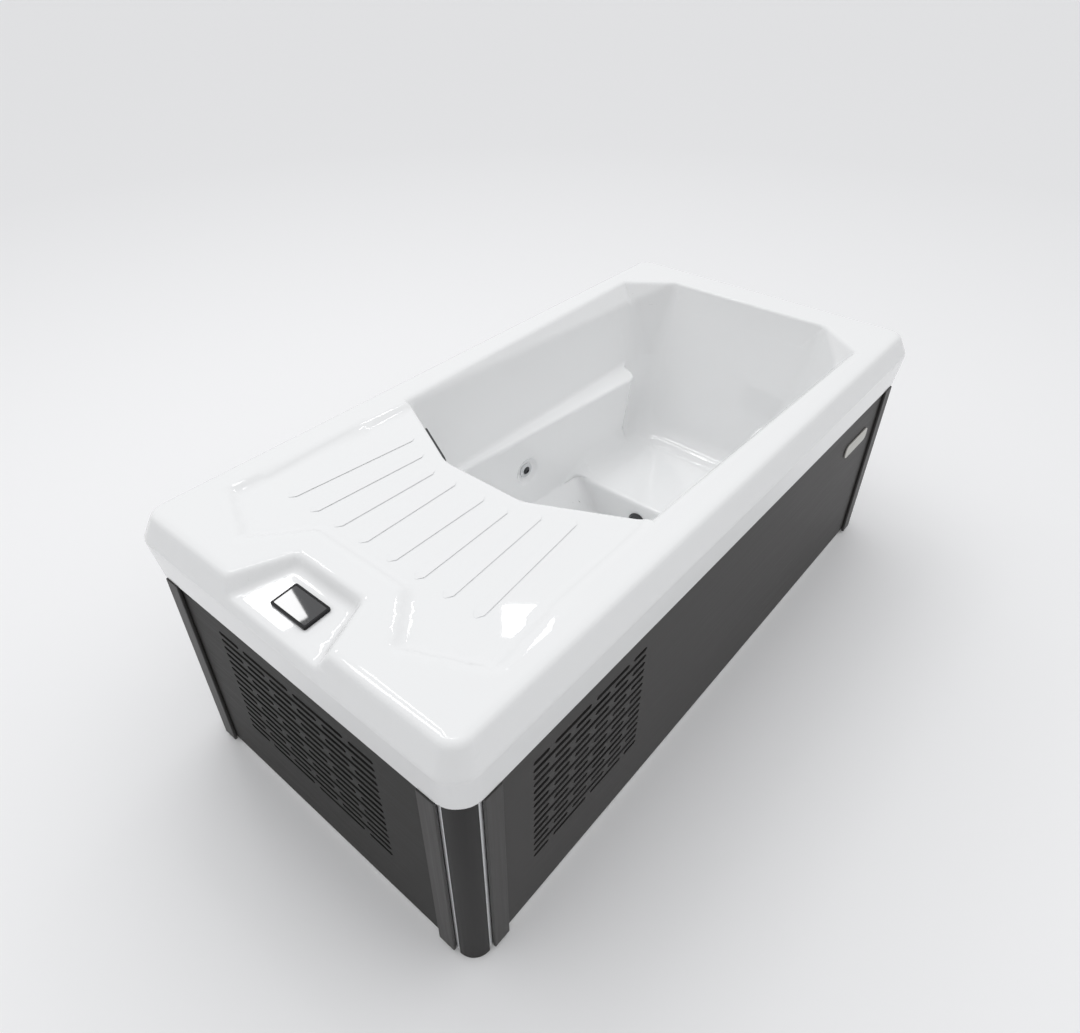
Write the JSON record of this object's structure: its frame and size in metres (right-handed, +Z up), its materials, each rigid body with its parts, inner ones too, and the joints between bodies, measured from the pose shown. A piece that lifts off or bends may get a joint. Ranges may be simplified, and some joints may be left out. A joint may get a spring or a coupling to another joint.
{
  "type": "cold plunge tub",
  "caption": "Chilled bathing tub: white moulded shell with deck, arm rests, seat and foot well on a dark panelled cabinet with vents, holding the chiller, pump and filter.",
  "frame": {"origin": "on the floor under the middle of the tub", "axes": "+X along the tub from the deck end to the seat end, +Z up, the vented long side faces -Y"},
  "size_m": [2.056, 1.032, 0.754],
  "materials": {
    "acrylic_white": "gloss",
    "panel_charcoal": "fine grained",
    "post_dark": "satin",
    "trim_silver": "satin anodised",
    "bezel_black": "gloss",
    "control_glass": "clear gloss over black",
    "fitting_dark": "satin",
    "badge_pale": "satin",
    "pan_pale": "matte",
    "frame_steel": "satin",
    "support_ply": "raw",
    "sheet_steel": "satin",
    "shroud_black": "satin",
    "fan_black": "matte",
    "condenser_fins": "satin",
    "compressor_black": "satin",
    "motor_grey": "painted satin",
    "pipe_grey": "satin",
    "cooler_grey": "satin",
    "valve_brass": "satin",
    "lever_red": "dipped",
    "box_grey": "satin"
  },
  "bodies": {
    "tub": {"shell": "acrylic_white", "control_bezel": "bezel_black", "control_glass": "control_glass", "jet_body": "fitting_dark", "suction_cover": "fitting_dark", "skimmer_front": "fitting_dark", "panel_side_near": "panel_charcoal", "panel_side_far": "panel_charcoal", "panel_end_seat": "panel_charcoal", "corner_post_deck_near": "post_dark", "trim_deck_near_end": "trim_silver", "trim_deck_near_side": "trim_silver", "batten_deck_near_side": "panel_charcoal", "corner_post_deck_far": "post_dark", "trim_deck_far_end": "trim_silver", "trim_deck_far_side": "trim_silver", "batten_deck_far_side": "panel_charcoal", "corner_post_seat_near": "post_dark", "trim_seat_near_end": "trim_silver", "trim_seat_near_side": "trim_silver", "batten_seat_near_end": "panel_charcoal", "batten_seat_near_side": "panel_charcoal", "corner_post_seat_far": "post_dark", "trim_seat_far_end": "trim_silver", "trim_seat_far_side": "trim_silver", "batten_seat_far_end": "panel_charcoal", "batten_seat_far_side": "panel_charcoal", "badge_plate": "badge_pale", "base_pan": "pan_pale", "upright_deck_near": "frame_steel", "upright_deck_far": "frame_steel", "upright_seat_near": "frame_steel", "upright_seat_far": "frame_steel", "upright_mid_deck_near": "frame_steel", "upright_mid_seat_near": "frame_steel", "upright_mid_deck_far": "frame_steel", "upright_mid_seat_far": "frame_steel", "support_well": "support_ply", "support_seat": "support_ply", "chiller_tray": "sheet_steel", "fan_shroud": "shroud_black", "condenser": "condenser_fins", "compressor": "compressor_black", "pump_motor": "motor_grey", "pump_volute": "fitting_dark", "filter_canister": "fitting_dark", "water_cooler": "cooler_grey", "pipe_suction": "pipe_grey", "pipe_pump_filter": "pipe_grey", "pipe_filter_cooler": "pipe_grey", "pipe_cooler_jet": "pipe_grey", "drain_valve": "valve_brass", "control_box": "box_grey", "cable_gland": "fitting_dark"},
    "service_panel": {"panel_end_service": "panel_charcoal", "batten_deck_near_end": "panel_charcoal", "batten_deck_far_end": "panel_charcoal"},
    "fan_rotor": {"fan": "fan_black"},
    "jet_ball": {"jet_nozzle": "fitting_dark"},
    "valve_lever": {"drain_lever": "lever_red"}
  },
  "joints": [
    {"name": "service_panel_pull", "type": "slide", "parent": "tub", "child": "service_panel", "axis": [-1, 0, 0], "range_m": [0, 0.12]},
    {"name": "fan_spin", "type": "hinge", "parent": "tub", "child": "fan_rotor", "pos_m": [-0.92, 0, 0.33], "axis": [1, 0, 0], "continuous": true},
    {"name": "jet_turn", "type": "hinge", "parent": "tub", "child": "jet_ball", "pos_m": [0.07682, 0.28937, 0.374], "axis": [0, 0, 1], "range_deg": [-15, 15]},
    {"name": "drain_turn", "type": "hinge", "parent": "tub", "child": "valve_lever", "pos_m": [-0.44, -0.31057, 0.057], "axis": [0, -1, 0], "range_deg": [0, 90]}
  ]
}
